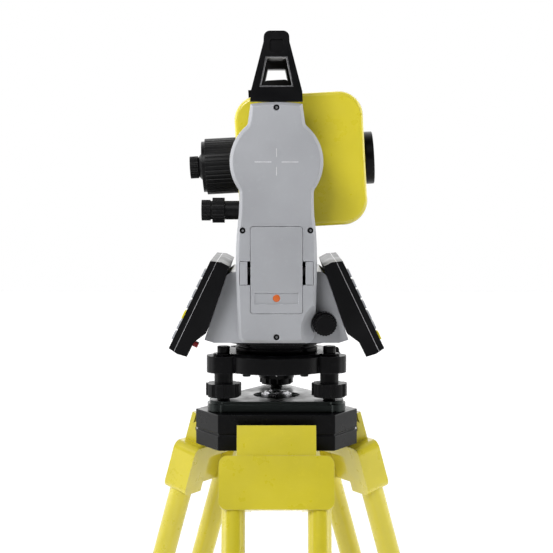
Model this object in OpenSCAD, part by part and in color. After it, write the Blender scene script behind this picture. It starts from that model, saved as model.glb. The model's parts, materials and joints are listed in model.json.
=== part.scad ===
// Electronic theodolite on its tribrach and folding three-legged stand.
// Z is up along the vertical axis, with the ground at 0. The near side cover faces -Y,
// and the telescope's objective points along +X.

/* [Stand] */
// Height of the stand head's flat top above the ground, legs slid in
head_h = 1000; // [980:5:1040]
// Angle of each leg from the vertical
leg_splay = 17.2; // [15:0.2:19]
// Distance from a leg's centre line to each of its two tubes
tube_offset = 41; // [40:0.5:43]
// Outside diameter of the upper leg tubes
tube_d = 22.5; // [21:0.5:23]
// How far a lower leg slides out
leg_travel = 450; // [350:10:460]
// Distance from the vertical axis to each leg's hinge pin
hinge_r = 69; // [68.5:0.1:70]

/* [Tribrach] */
// Radius of the circle that the three foot screws stand on
screw_circle_r = 60.5; // [60:0.1:61]
// Radius of the tribrach body's round plate
tribrach_r = 60; // [58:0.5:61]
// Height of the tribrach body's top face above the head
tribrach_top = 57; // [56:0.5:57.5]

/* [Alidade] */
// Height of the tilting axis above the head
axis_h = 244; // [242:0.5:248]
// Width over the two side covers
covers_w = 170; // [168:0.5:172]
// Clear width between the two standards
fork_w = 86; // [84:0.5:87]
// Radius of the round part of each side cover
cover_r = 44.1; // [43:0.1:45]
// Length of each key panel's sloping face
panel_len = 92; // [91:0.5:94]
// Angle of each key panel's face from the vertical
panel_tilt = 25.6; // [25:0.1:26.4]

/* [Telescope] */
// Angle of the telescope above the horizontal, as it is stored
scope_tilt = 3.2; // [0:0.2:6]
// Width of the telescope body along the tilting axis
scope_w = 76; // [70:1:78]
// Radius of the body's corners, seen from the side
scope_corner_r = 24; // [18:0.5:26]
// Outside radius of the objective ring
objective_r = 26; // [24:0.5:27]
// Travel of the focusing lens
focus_travel = 14; // [8:1:16]

/* [Controls] */
// Radius of the horizontal clamp ring
hclamp_r = 11.5; // [11:0.1:12]
// Radius of the vertical clamp ring
vclamp_r = 12.1; // [11.5:0.1:12.5]
// Travel of a key
key_travel = 1; // [0.6:0.1:1.2]
// Travel of each battery latch
latch_travel = 2; // [1:0.2:2.4]

/* [Hidden] */
$fn = 64;
legs = ["front", "right", "left"];
leg_angles = [-90, 30, 150];
sides = ["left", "right"];

fit = 0.05;             // radial clearance of a running fit
gap = 0.3;              // clearance between parts that move past each other
yellow = [0.86, 0.79, 0.12];
black = [0.06, 0.06, 0.065];
grey = [0.62, 0.63, 0.66];
steel = [0.75, 0.76, 0.78];
tool_grey = [0.2, 0.22, 0.21];

// ---- Shared shapes -------------------------------------------------------------------

// Raises its children from the stand head's top face.
module on_head(z = 0) { translate([0, 0, head_h + z]) children(); }

// Puts its children in the telescope's frame: tilting axis at the origin, +X forwards.
module on_scope() { on_head(axis_h) rotate([0, -scope_tilt, 0]) children(); }

// A cylinder along X from x0 to x1.
module rod_x(r, x0, x1) { translate([x0, 0, 0]) rotate([0, 90, 0]) cylinder(r = r, h = x1 - x0); }

// A cylinder along Y from y0 to y1.
module rod_y(r, y0, y1) { translate([0, y1, 0]) rotate([90, 0, 0]) cylinder(r = r, h = y1 - y0); }

// A box given by its lowest and highest corners.
module block(lo, hi) { translate(lo) cube(hi - lo); }

// An outline in X and Z, extruded along Y from y0 to y1.
module along_y(y0, y1) { translate([0, y1, 0]) rotate([90, 0, 0]) linear_extrude(y1 - y0) children(); }

// An outline in Y and Z, extruded along X from x0 to x1.
module along_x(x0, x1) {
    translate([x0, 0, 0]) rotate([90, 0, 90]) linear_extrude(x1 - x0) children();
}

// A rectangle of half sizes a and b with round corners.
module round_rect(a, b, r) {
    square([2 * a, 2 * (b - r)], center = true);
    square([2 * (a - r), 2 * b], center = true);
    for (x = [-1, 1], y = [-1, 1]) translate([x * (a - r), y * (b - r)]) circle(r);
}

// A knob with finger grooves: an outline of radius r with n round notches, height h.
module grooved_knob(r, h, n, notch) {
    linear_extrude(h) difference() {
        circle(r);
        for (i = [0:n - 1]) rotate(i * 360 / n) translate([r + notch * 0.45, 0]) circle(notch, $fn = 24);
    }
}

// ---- Stand ---------------------------------------------------------------------------

head_depth = 35;        // thickness of the stand head
head_flat = 60;         // distance of the flat behind each leg
head_corner = 79;       // distance of the cut corner between two legs
head_hole_r = 30;       // centring hole under the instrument
pin_z = -24;            // hinge pin height from the head's top
pin_r = 4;
lug_half = 27.5;        // half width of the head's hinge lug
lug_r = 7;
ear_in = 28;            // the leg bracket's two ears, from and to, along the pin
ear_out = 37.9;
ear_r = 8;
bracket_half = 55;      // half width of the leg bracket
bracket_half_t = 13;    // half thickness of the leg bracket
bracket_top = -15;      // the bracket's wide part, below the hinge pin
bracket_bottom = -66;
socket_top = -26;
tip_r = 3;              // radius of the foot's tip
foot_len = 112;
lower_r = 12;           // radius of the sliding lower leg
block_h = 58;           // height of the clamp block
leg_len = (head_h + pin_z - tip_r) / cos(leg_splay);    // hinge pin to the tip's centre
block_low = -(leg_len - foot_len - 4);
block_high = block_low + block_h;
lower_top = block_high + leg_travel + 30;
clamp_z = block_low + block_h / 2;

// Puts its children at a leg's hinge pin: +X outwards, +Z up along the leg.
module on_leg(i) {
    rotate([0, 0, leg_angles[i]])
        translate([hinge_r, 0, head_h + pin_z])
            rotate([0, -leg_splay, 0]) children();
}

// The same place without the splay, for what stays on the head.
module at_pin(i) {
    rotate([0, 0, leg_angles[i]]) translate([hinge_r, 0, head_h + pin_z]) children();
}

// Hexagonal plan with three long flats behind the legs and three cut corners.
module head_plan(inset = 0) {
    intersection() {
        rotate(90) circle(r = 2 * (head_flat - inset), $fn = 3);
        rotate(-90) circle(r = 2 * (head_corner - inset), $fn = 3);
    }
}

module stand_head() color(black) {
    seam_z = -19.5;
    seam_t = 2;
    difference() {
        union() {
            on_head(seam_z + 1) linear_extrude(-seam_z - 1) head_plan();
            on_head(seam_z - 1) linear_extrude(seam_t) head_plan(1.5);
            on_head(-head_depth) linear_extrude(head_depth + seam_z - 1) head_plan();
            for (i = [0:2]) at_pin(i) {
                rod_y(lug_r, -lug_half, lug_half);
                block([head_flat - hinge_r - 2, -lug_half, -lug_r], [0, lug_half, lug_r]);
            }
        }
        on_head(-head_depth - 1) cylinder(r = head_hole_r, h = head_depth + 2);
        for (i = [0:2]) at_pin(i) rod_y(pin_r, -lug_half - 1, lug_half + 1);
    }
}

module leg_hinge_pins() color(steel) for (i = [0:2]) at_pin(i) {
    rod_y(pin_r, -ear_out + 1, ear_out - 1);
}

module fixing_screw() color(tool_grey) {
    thread_r = 7.85;
    flange_z = -head_depth - gap;
    knob_z = -80;
    difference() {
        on_head() {
            translate([0, 0, flange_z - 5]) cylinder(r = 37, h = 5);
            translate([0, 0, -62]) cylinder(r = 14, h = 22);
            translate([0, 0, knob_z]) grooved_knob(22, 18.5, 8, 4);
            translate([0, 0, flange_z - 1]) cylinder(r = thread_r, h = -flange_z + 15);
        }
        on_head(knob_z - 1) cylinder(r = 4.5, h = 100);
    }
}

module upper_leg(i) color(yellow) {
    tube_low = block_low + 8;
    on_leg(i) {
        difference() {
            union() {
                // The bracket's wide part, with two round sockets for the tubes.
                along_x(-bracket_half_t, bracket_half_t)
                    translate([0, (bracket_top + bracket_bottom) / 2])
                        round_rect(bracket_half, (bracket_top - bracket_bottom) / 2, 8);
                // Tongue plate over the hinge, and an ear at each side of it.
                block([7.5, -ear_out, bracket_top - 1], [12, ear_out, 14]);
                for (s = [-1, 1]) {
                    rod_y(ear_r, min(s * ear_in, s * ear_out), max(s * ear_in, s * ear_out));
                    block([-ear_r, min(s * ear_in, s * ear_out), bracket_top - 1],
                          [10, max(s * ear_in, s * ear_out), 0]);
                }
            }
            for (s = [-1, 1]) {
                rod_y(pin_r + fit, s * ear_in - 20, s * ear_in + 20);
                translate([0, s * tube_offset, bracket_bottom - 1])
                    cylinder(d = tube_d, h = socket_top - bracket_bottom + 1);
            }
            // Shallow hollow between the sockets, open below and to the back.
            block([-bracket_half_t - 1, -24, bracket_bottom - 1], [0, 24, -28]);
        }
        for (s = [-1, 1]) translate([0, s * tube_offset, tube_low]) difference() {
            cylinder(d = tube_d - 0.02, h = socket_top - tube_low - 0.5);
            translate([0, 0, -1]) cylinder(d = tube_d - 3.2, h = socket_top - tube_low + 2);
        }
    }
}

module clamp_block(i) color(black) on_leg(i) difference() {
    translate([0, 0, block_low]) {
        linear_extrude(block_h) round_rect(14.5, 56, 7);
        translate([14, 0, block_h / 2]) rod_x(11, -2, 5);
    }
    translate([0, 0, block_low - 1]) cylinder(r = lower_r + fit, h = block_h + 2);
    for (s = [-1, 1]) translate([0, s * tube_offset, block_low + 8])
        cylinder(d = tube_d, h = block_h);
    translate([0, 0, clamp_z]) rod_x(4 + fit, 5, 30);
}

module clamp_knob(i) color(black) on_leg(i) translate([0, 0, clamp_z]) {
    rod_x(4, lower_r + 0.6, 22);
    translate([19 + gap, 0, 0]) rotate([0, 90, 0]) {
        cylinder(r = 9, h = 5);
        translate([0, 0, 4]) linear_extrude(13) {
            circle(11);
            for (s = [-1, 1]) translate([s * 14, 0]) round_rect(12, 5.5, 5);
        }
    }
}

module lower_leg(i) color(yellow) on_leg(i) difference() {
    translate([0, 0, -(leg_len - foot_len + 34)])
        cylinder(r = lower_r, h = lower_top + leg_len - foot_len + 34);
    translate([0, 0, -(leg_len - foot_len + 35)]) cylinder(r = lower_r - 2, h = leg_len);
}

// Shoe: a socket for the leg, a taper, and a round-ended spike, turned about the leg.
module leg_foot(i) color(steel) on_leg(i) {
    translate([0, 0, -leg_len]) {
        difference() {
            rotate_extrude() union() {
                polygon([[0, 0], [tip_r, 0], [5.5, 22], [13, 52], [15, 70], [15, foot_len], [0, foot_len]]);
                intersection() { circle(tip_r); translate([0, -tip_r]) square([tip_r, tip_r + 1]); }
            }
            translate([0, 0, foot_len - 35]) cylinder(r = lower_r, h = 40);
        }
        // Step that a boot pushes down on.
        difference() {
            block([10, -13, 60], [38, 13, 66]);
            translate([0, 0, 59]) cylinder(r = 13.6, h = 8);
        }
    }
}

// ---- Tribrach ------------------------------------------------------------------------

screw_angles = [210.6, -30.6, 90];      // left, right and rear foot screws
plate_t = 11;
plate_hole_r = 22;
body_low = 38.5;
stem_r = 4;

module at_screw(i) {
    rotate([0, 0, screw_angles[i]]) translate([screw_circle_r, 0, 0]) rotate([0, 0, -screw_angles[i]])
        children();
}

// Three-cornered plate with round ends at the screws.
module base_plan(r, inset) {
    intersection() {
        rotate(90) circle(r = 2 * (48 - inset), $fn = 3);
        circle(r = r);
    }
    for (i = [0:2]) at_screw(i) circle(r = 15.5 - inset);
}

module base_plate() color(tool_grey) difference() {
    on_head() {
        linear_extrude(8) base_plan(72, 0);
        translate([0, 0, 8]) linear_extrude(plate_t - 8) base_plan(70, 1.5);
    }
    on_head(-1) cylinder(r = plate_hole_r, h = 20);
    // Chamfered mouth of the hole.
    on_head(plate_t - 1.2) cylinder(r1 = plate_hole_r, r2 = plate_hole_r + 1.3, h = 1.3);
    on_head(5) for (i = [0:2]) at_screw(i) cylinder(r = 6.3, h = 10);
}

// Threaded bush that the fixing screw enters, on a disc inside the base plate's hole.
module fixing_bush() color(steel) difference() {
    on_head() {
        translate([0, 0, 2]) cylinder(r = plate_hole_r - 0.02, h = 5);
        cylinder(r = 15, h = plate_t + 2);
        translate([0, 0, plate_t + 1]) cylinder(r = 12, h = 3);
    }
    on_head(-1) cylinder(r = 7.85 + fit, h = 30);
}

module foot_screw(i) color(black) on_head() at_screw(i) {
    translate([0, 0, 5.4]) cylinder(r = 6, h = 9);
    translate([0, 0, 14]) cylinder(r = 15.5, h = 2);
    translate([0, 0, 15.5]) grooved_knob(17.5, 12, 9, 3.4);
    translate([0, 0, 27]) cylinder(r = 9.1, h = body_low - gap - 27);
    translate([0, 0, 30]) cylinder(r = stem_r, h = 29.5);
}

module foot_screw_caps() color(black) for (i = [0:2]) on_head(tribrach_top) at_screw(i)
    difference() {
        cylinder(r = 6.2, h = 7);
        translate([0, 0, -1]) cylinder(r = stem_r + 0.6, h = 5.5);
    }

module tribrach_body() color(black) difference() {
    union() {
        // Round body with its central boss, the hollow under it and a chamfered rim.
        on_head() rotate_extrude() polygon([
            [14, 29], [17.5, 29], [18.5, body_low], [20, 46], [38, 46], [38, body_low],
            [tribrach_r, body_low], [tribrach_r, tribrach_top - 3], [tribrach_r - 3, tribrach_top],
            [14, tribrach_top]
        ]);
        for (i = [0:2]) on_head(body_low) at_screw(i) {
            cylinder(r = 16.6, h = tribrach_top - body_low - 2);
            cylinder(r = 10, h = tribrach_top - body_low);
        }
    }
    on_head(body_low - 1) for (i = [0:2]) at_screw(i) cylinder(r = stem_r + fit, h = 40);
    // Seat of the round level, and bore of the lock knob.
    on_head(body_low + 9) rotate([0, 0, 150]) translate([47, 0, 0]) cylinder(r = 8, h = 20);
    on_head(48) rotate([0, 0, 30]) rod_x(3 + fit, 42, 70);
}

module lock_knob() color(black) on_head(48) rotate([0, 0, 30]) {
    rod_x(3, 44, 64);
    translate([tribrach_r + gap, 0, 0]) rotate([0, 90, 0]) grooved_knob(8, 11, 6, 2.5);
}

module round_level() color(steel) rotate([0, 0, 150]) on_head(body_low + 9) translate([47, 0, 0])
    difference() {
        cylinder(r = 8, h = tribrach_top - body_low - 9);
        translate([0, 0, 3]) cylinder(r = 6.4, h = 12);
    }

// ---- Vertical axis -------------------------------------------------------------------

deck_z = 139;           // top of the base housing
base_z = 68;            // underside of everything that turns
spindle_r = 14;
ring_r = 41;

module spindle() color(steel) on_head() difference() {
    translate([0, 0, 29]) cylinder(r = spindle_r - 0.01, h = 92);
    translate([0, 0, 28]) cylinder(r = 6, h = 100);
}

module base_ring() color(black) on_head(tribrach_top) difference() {
    union() {
        cylinder(r = ring_r, h = 4);
        translate([0, 0, 4]) cylinder(r = ring_r - 2, h = 2);
        translate([0, 0, 6]) cylinder(r = ring_r, h = base_z - gap - tribrach_top - 6);
    }
    translate([0, 0, -1]) cylinder(r = spindle_r, h = 20);
}

module horizontal_circle() color([0.8, 0.9, 0.92, 0.6]) on_head(base_z + 8) difference() {
    cylinder(r = 38, h = 3);
    translate([0, 0, -1]) cylinder(r = spindle_r, h = 5);
}

// ---- Alidade -------------------------------------------------------------------------

housing_y = 62;         // the housing's faces under the side covers
panel_top_x = 44.6;     // inner edge of the key panels, at the top and lower down
panel_top_z = 145.4;
panel_low_x = 68.5;
panel_low_z = 75.9;

// Half width of the base housing at a height: it ends at the key panels' backs.
function housing_half(z) = panel_top_x
    + (panel_low_x - panel_top_x) * (panel_top_z - z) / (panel_top_z - panel_low_z);

cover_wall = 3;

// Outline of a side cover about the tilting axis; inset moves the whole edge inwards.
module cover_outline(inset = 0) {
    low = -171.4 + inset;
    circle(r = cover_r - inset, $fn = 96);
    // Upper part with its slightly arched top.
    intersection() {
        translate([0, -90]) circle(r = 146.3 - inset, $fn = 256);
        polygon([[-29 + inset, 18], [29 - inset, 18], [24.5 - inset, 57], [-24.5 + inset, 57]]);
    }
    // Lower part: waist, widest place and round bottom corners.
    polygon([
        [35.1 - inset, -24], [35.1 - inset, -44], [37.5 - inset, -67], [38.4 - inset, -93],
        [37.6 - inset, -130], [36.4 - inset, low + 8], [-36.4 + inset, low + 8],
        [-37.6 + inset, -130], [-38.4 + inset, -93], [-37.5 + inset, -67], [-35.1 + inset, -44],
        [-35.1 + inset, -24]
    ]);
    translate([0, low + 20]) round_rect(36.4 - inset, 20, 8);
    // Fillets above and below the round part.
    for (s = [-1, 1]) mirror([s > 0 ? 1 : 0, 0]) {
        difference() {
            polygon([[20, 28], [28.8, 33.4], [32.7, 37.96], [26.7, 38], [20, 38]]);
            translate([32.7, 37.96]) circle(r = 6 + inset);
        }
        difference() {
            polygon([[28, -22], [36.5, -24.8], [43.1, -29.3], [35.1, -29.3], [28, -30]]);
            translate([43.1, -29.3]) circle(r = 8 + inset);
        }
    }
}

knob_x = 46;            // axis of the horizontal clamp and tangent knob
knob_z = 90;
clamp_sleeve_r = 5;     // fixed sleeve inside a clamp ring
tangent_r = 3;          // shaft of a tangent screw
hclamp_end = housing_y + 13.8;      // outer end of the horizontal clamp's sleeve

module base_housing() color(grey) difference() {
    on_head() {
        along_y(-housing_y, housing_y) polygon([
            [housing_half(73.5), 73.5], [housing_half(deck_z - 3), deck_z - 3],
            [housing_half(deck_z) - 3, deck_z], [-housing_half(deck_z) + 3, deck_z],
            [-housing_half(deck_z - 3), deck_z - 3], [-housing_half(73.5), 73.5],
            [-60, base_z + 2.5], [60, base_z + 2.5]
        ]);
        translate([0, 0, base_z]) cylinder(r = 61, h = 3.5);
        // Sleeve that the horizontal clamp ring turns on.
        translate([knob_x, 0, knob_z]) rod_y(clamp_sleeve_r, -hclamp_end, -housing_y + 1);
    }
    on_head(base_z - 1) cylinder(r = spindle_r + fit, h = 58);
    // Cavity around the glass circle.
    on_head(base_z + 7) cylinder(r = 41, h = 6);
    // Hollow over the circle, between the axis bush and the walls, open to the side covers.
    on_head() {
        block([-38, 22, base_z + 18], [38, housing_y + 1, deck_z - 4]);
        block([-30, -housing_y - 1, base_z + 18], [30, -22, deck_z - 4]);
        translate([knob_x, 0, knob_z]) rod_y(tangent_r + fit, -hclamp_end - 1, -housing_y + 30);
    }
}

// One of the two uprights that carry the tilting axis; side is -1 near and 1 far.
// It is a web against the telescope with a rim and a bearing boss. The near one also has
// the fixed sleeve of the vertical clamp.
module standard(side) color(grey) difference() {
    y0 = side < 0 ? -housing_y : fork_w / 2;
    y1 = side < 0 ? -fork_w / 2 : housing_y;
    web = 4;
    union() {
        difference() {
            on_head(axis_h) intersection() {
                along_y(y0, y1) cover_outline(3);
                block([-60, y0, deck_z - axis_h], [60, y1, 60]);
            }
            on_head(axis_h) intersection() {
                along_y(side < 0 ? y0 - 1 : y0 + web, side < 0 ? y1 - web : y1 + 1) cover_outline(8);
                block([-60, y0 - 2, deck_z - axis_h + 5], [60, y1 + 2, 48]);
            }
        }
        on_head(axis_h) rod_y(trunnion_r + 6, y0, y1);
        if (side < 0) on_head(vclamp_z) translate([0, vclamp_y, 0]) {
            rod_x(9, vclamp_in + gap, -6);
            rod_x(clamp_sleeve_r, vclamp_out, -48);
        }
    }
    on_head(axis_h) rod_y(trunnion_r + fit, y0 - 1, y1 + 1);
    if (side < 0) on_head(vclamp_z) translate([0, vclamp_y, 0]) rod_x(tangent_r + fit, vclamp_out - 1, 0);
}

// Conical scoop in the near cover's corner that gives fingers room at the clamp knob.
module finger_scoop(extra = 0) {
    rim = 30.6 + extra;
    floor_r = 16 + extra;
    translate([53.3, -covers_w / 2, -159]) rotate([-90, 0, 0]) {
        translate([0, 0, -1]) cylinder(r = rim, h = 1.01);
        cylinder(r1 = rim, r2 = floor_r, h = 14 + extra);
    }
}

// Side cover: a shell with its open back against the housing. The near one has the battery bay.
module near_cover() color(grey) difference() {
    on_head(axis_h) along_y(-covers_w / 2, -housing_y) cover_outline();
    on_head(axis_h) difference() {
        along_y(-covers_w / 2 + cover_wall, -housing_y + 1) cover_outline(cover_wall);
        finger_scoop(cover_wall);
    }
    on_head(axis_h) finger_scoop();
    on_head(axis_h) translate([0, 0, bay_mid]) block(
        [-bay_half - seam, -covers_w / 2 - 1, -bay_tall - seam], [bay_half + seam, -60, bay_tall + seam]);
    on_head() translate([knob_x, 0, knob_z]) rod_y(hclamp_r + 2, -covers_w / 2 - 1, -60);
    for (s = [-1, 1]) on_head(axis_h) block(
        [s < 0 ? -latch_out - seam : bay_half + seam, -covers_w / 2 - 1, latch_low - seam],
        [s < 0 ? -bay_half - seam : latch_out + seam, -covers_w / 2 + 10, latch_high + seam]);
    cover_marks(-covers_w / 2, 0.5);
    cover_screw_seats(-1);
}

module far_cover() color(grey) difference() {
    on_head(axis_h) along_y(housing_y, covers_w / 2) cover_outline();
    on_head(axis_h) along_y(housing_y - 1, covers_w / 2 - cover_wall) cover_outline(cover_wall);
    cover_marks(covers_w / 2 - 0.5, 1);
    cover_screw_seats(1);
}

// Flat-bottomed seats of a cover's screws, with a chamfered mouth; side is -1 near and 1 far.
module cover_screw_seats(side) for (p = cover_screw_places)
    on_head(axis_h) translate([p[0], side * covers_w / 2, p[1]]) rotate([side * 90, 0, 0]) {
        translate([0, 0, -1]) cylinder(r = 2.8, h = 2.6, $fn = 32);
        translate([0, 0, -0.01]) cylinder(r1 = 3.5, r2 = 2.8, h = 0.7, $fn = 32);
    }

// Cross marks that show the tilting axis, cut from y0 over a depth of t.
module cover_marks(y0, t) on_head(axis_h) for (s = [-1, 1]) {
    block([min(s * 4.8, s * 20.5), y0 - 0.5, -0.3], [max(s * 4.8, s * 20.5), y0 + t, 0.3]);
    block([-0.3, y0 - 0.5, min(s * 4.6, s * 12.8)], [0.3, y0 + t, max(s * 4.6, s * 12.8)]);
}

cover_screw_places = [[0, 51], [-32, -64.4], [32, -64.4], [0, -165.5]];

module housing_screws() color(black) {
    for (p = cover_screw_places, s = [-1, 1]) on_head(axis_h) translate([p[0], 0, p[1]])
        screw_y(s, covers_w / 2 - 1.6);
}

// A socket-head screw along Y whose head ends at the depth y, on the side s.
module screw_y(s, y) difference() {
    rod_y(2.7, min(s * y, s * (y + 1.2)), max(s * y, s * (y + 1.2)));
    rotate([90, 0, 0]) translate([0, 0, -s * (y + 0.9)]) cylinder(r = 1.3, h = 2, center = true, $fn = 6);
}

// ---- Battery and its latches ---------------------------------------------------------

bay_half = 24.5;
bay_tall = 41;
bay_mid = -101.9;
latch_in = bay_half + latch_travel + 1;     // the dark slot leaves room for the travel
latch_out = 34.6;
seam = 0.5;             // open line round the battery door and the latches
latch_low = -115.7;
latch_high = -93.9;

module battery_pack() color(grey) on_head(axis_h) difference() {
    union() {
        translate([0, 0, bay_mid]) along_y(-covers_w / 2 - 0.5, -covers_w / 2 + 3)
            round_rect(bay_half, bay_tall, 2.5);
        block([-bay_half + 1.5, -covers_w / 2 + 2, bay_mid - bay_tall + 1.5],
              [bay_half - 1.5, -housing_y - 1, bay_mid + bay_tall - 1.5]);
    }
    // Recessed strip with its coloured dot.
    block([-20.7, -covers_w / 2 - 1, -134], [20.7, -covers_w / 2 + 0.5, -123.5]);
    translate([0, 0, -128.5]) rod_y(3.6, -covers_w / 2 - 1, -covers_w / 2 + 1);
}

// A sprung latch beside the battery, pressed inwards; side is -1 left and 1 right.
module battery_latch(side) color(grey) on_head(axis_h) mirror([side < 0 ? 1 : 0, 0, 0]) {
    block([latch_in, -covers_w / 2 - 0.4, latch_low], [latch_out, -covers_w / 2 + 8, latch_high]);
    block([latch_in, -covers_w / 2 + 7, latch_low + 4], [latch_out - 2, -covers_w / 2 + 9, latch_high - 4]);
}

// ---- Carrying handle -----------------------------------------------------------------

handle_z = 56.8;        // the handle's feet, above the tilting axis
handle_top = 122.4;
handle_y = 75;
handle_t = 16;

// Outline of one arm: wide foot, narrower round top.
module arm_outline() {
    polygon([[-24.7, handle_z], [24.7, handle_z], [24.2, 66], [12.2, 112], [12, 116.4], [-12, 116.4],
        [-12.2, 112], [-24.2, 66]]);
    translate([0, 116.4]) round_rect(12, 6, 5.9);
}

// Finger window through an arm: narrower at the top.
module window_outline() {
    polygon([[-14.8, 71], [14.8, 71], [9.2, 97.6], [-9.2, 97.6]]);
}

module carry_handle() color(black) on_head(axis_h) difference() {
    union() {
        for (s = [-1, 1]) along_y(s * handle_y - handle_t / 2, s * handle_y + handle_t / 2) arm_outline();
        along_y(-handle_y, handle_y) translate([0, 113.7]) round_rect(11.8, 8.7, 6);
    }
    for (s = [-1, 1]) along_y(s * handle_y - 15, s * handle_y + 15) window_outline();
    for (s = [-1, 1]) along_y(s * (handle_y + handle_t / 2) - 2, s * (handle_y + handle_t / 2) + 2)
        translate([0, 108.5]) round_rect(6.7, 6.5, 2.5);
}

// ---- Clamps and tangent screws -------------------------------------------------------

vclamp_y = -52;
vclamp_z = 198;
vclamp_out = -61.5;     // ends of the vertical clamp ring
vclamp_in = -49.9;

module horizontal_clamp_ring() color(black) on_head() translate([knob_x, 0, knob_z]) difference() {
    rotate([90, 0, 0]) translate([0, 0, housing_y + gap]) {
        cylinder(r = 9, h = 3);
        translate([0, 0, 2.5]) grooved_knob(hclamp_r, 11, 24, 1);
    }
    rod_y(clamp_sleeve_r + fit, -90, -50);
}

module horizontal_tangent_knob() color(black) on_head() translate([knob_x, 0, knob_z]) {
    rod_y(tangent_r, -hclamp_end - 4, -housing_y + 14);
    rotate([90, 0, 0]) translate([0, 0, hclamp_end + gap]) {
        grooved_knob(9.9, 8, 20, 0.9);
        cylinder(r = 8.2, h = 9);
    }
}

module vertical_clamp_ring() color(black) on_head(vclamp_z) translate([0, vclamp_y, 0]) difference() {
    translate([vclamp_out, 0, 0]) rotate([0, 90, 0]) grooved_knob(vclamp_r, vclamp_in - vclamp_out, 24, 1);
    rod_x(clamp_sleeve_r + fit, -70, -20);
}

module vertical_tangent_knob() color(black) on_head(vclamp_z) translate([0, vclamp_y, 0]) {
    rod_x(tangent_r, -66, -22);
    rod_x(8.9, -64, vclamp_out - gap);
    translate([-72, 0, 0]) rotate([0, 90, 0]) grooved_knob(10, 8.6, 20, 0.9);
}

// ---- Key panels ----------------------------------------------------------------------

panel_half = 80;
panel_wall = 2.5;
key_out = key_travel + 0.8;     // how far the keys stand out of the face
window_y = 46;          // half width of the display window
window_top = -12;
window_low = -52;
key_y = 63;             // the key columns at both ends of the display
key_pitch = 11;
key_first = -14;
row_keys = [-36, -12, 12, 36];      // keys in the row under the display
row_z = -69;

// Row of the power key, in the near column; side is -1 left and 1 right.
function power_z(side) = key_first - key_pitch * (side < 0 ? 4 : 6);

// Plan of every grey key, each made larger by grow.
module key_plan(side, grow = 0) {
    for (k = [0:6], y = [-key_y, key_y]) if (y > 0 || key_first - key_pitch * k != power_z(side))
        translate([y, key_first - key_pitch * k]) round_rect(8 + grow, 4 + grow, 1.6, $fn = 16);
    for (y = row_keys) translate([y, row_z]) round_rect(9 + grow, 4 + grow, 1.6, $fn = 16);
}

// Plan of the power key.
module power_plan(side, grow = 0) {
    translate([-key_y, power_z(side)]) round_rect(8 + grow, 4 + grow, 1.6, $fn = 16);
}

// Puts its children on a panel's face: -X outwards, Z up along the face; side -1 left, 1 right.
module on_panel(side) {
    mirror([side > 0 ? 1 : 0, 0, 0]) on_head(150.5) translate([-62.7, 0, 0])
        rotate([0, panel_tilt, 0]) children();
}

// Section of a key panel, and the smaller section of its hollow.
module panel_section(low = panel_len) {
    polygon([[0, 0], [9.9, 3.5], [18.5, 3.2], [25.9, -64], [19.1, -76.7], [19, -low], [9.6, -low - 1.5],
        [0, -low]]);
}

module panel_shell(side) color(black) on_panel(side) difference() {
    along_y(-panel_half, panel_half) panel_section();
    along_y(-panel_half + panel_wall, panel_half - panel_wall) polygon([
        [panel_wall, -3], [16, 0], [16, -panel_len + 3], [panel_wall, -panel_len + 3]]);
    block([-1, -window_y - 0.2, window_low - 0.2], [panel_wall + 1, window_y + 0.2, window_top + 0.2]);
    along_x(-1, panel_wall + 1) {
        key_plan(side, gap);
        power_plan(side, gap);
    }
}

module display_windows() color([0.35, 0.42, 0.4, 0.8]) for (side = [-1, 1]) on_panel(side)
    block([0.3, -window_y, window_low], [panel_wall, window_y, window_top]);

// Mat with its keys: a frame behind the face, around the display and clear of the power key.
module keypad(side) color([0.75, 0.76, 0.78]) on_panel(side) {
    back = panel_wall + gap;
    along_x(-key_out, back + 1) key_plan(side);
    along_x(back, back + 1.5) difference() {
        translate([0, -47.25]) square([148, 78.5], center = true);
        translate([0, (window_top + window_low) / 2]) square([100, 44], center = true);
        power_plan(side, 1);
    }
}

module power_key(side) color(yellow) on_panel(side)
    along_x(-key_out, panel_wall + gap + 1.5) power_plan(side);

// ---- Telescope -----------------------------------------------------------------------

trunnion_r = 14;
tube_r = 22;            // bore for the optics
body_back = -38.5;
body_front = 86.4;
body_top = 65.5;
body_low_z = -64;
rear_tube_r = 20;       // fixed tube that carries the focusing ring and the eyepiece
rear_bore_r = 16;
rear_tube_end = -73;
axle_in = 30;           // inner ends of the axles, either side of the middle

// Side outline of the telescope body: a box with large round corners.
module scope_outline() {
    translate([(body_back + body_front) / 2, (body_low_z + body_top) / 2])
        round_rect((body_front - body_back) / 2, (body_top - body_low_z) / 2, scope_corner_r);
}

// Cast body: an optical bore along it, a fixed rear tube under the focusing ring, a boss
// on each side for the axles, and two hollows in the casting.
module telescope_body() color(yellow) on_scope() difference() {
    union() {
        along_y(-scope_w / 2, scope_w / 2) scope_outline();
        rod_y(trunnion_r + 6, -scope_w / 2 - 1.5, scope_w / 2 + 1.5);
        rod_x(rear_tube_r, rear_tube_end, body_back + 2);
    }
    for (s = [-1, 1]) block(
        [-20, -scope_w / 2 + 4, s > 0 ? tube_r + 5 : body_low_z + 8],
        [62, scope_w / 2 - 4, s > 0 ? body_top - 8 : -tube_r - 5]);
    rod_x(tube_r, body_back + 8, body_front + 5);
    rod_x(rear_bore_r, rear_tube_end - 1, body_back + 9);
    for (s = [-1, 1]) rod_y(trunnion_r, s > 0 ? axle_in : -50, s > 0 ? 50 : -axle_in);
}

// The two hollow stub axles of the tilting axis.
module tilt_axles() color(steel) on_scope() for (s = [-1, 1]) difference() {
    rod_y(trunnion_r - 0.01, s > 0 ? axle_in : -housing_y - 2, s > 0 ? housing_y + 2 : -axle_in);
    rod_y(6, s > 0 ? axle_in - 1 : -housing_y - 3, s > 0 ? housing_y + 3 : -axle_in + 1);
}

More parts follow.
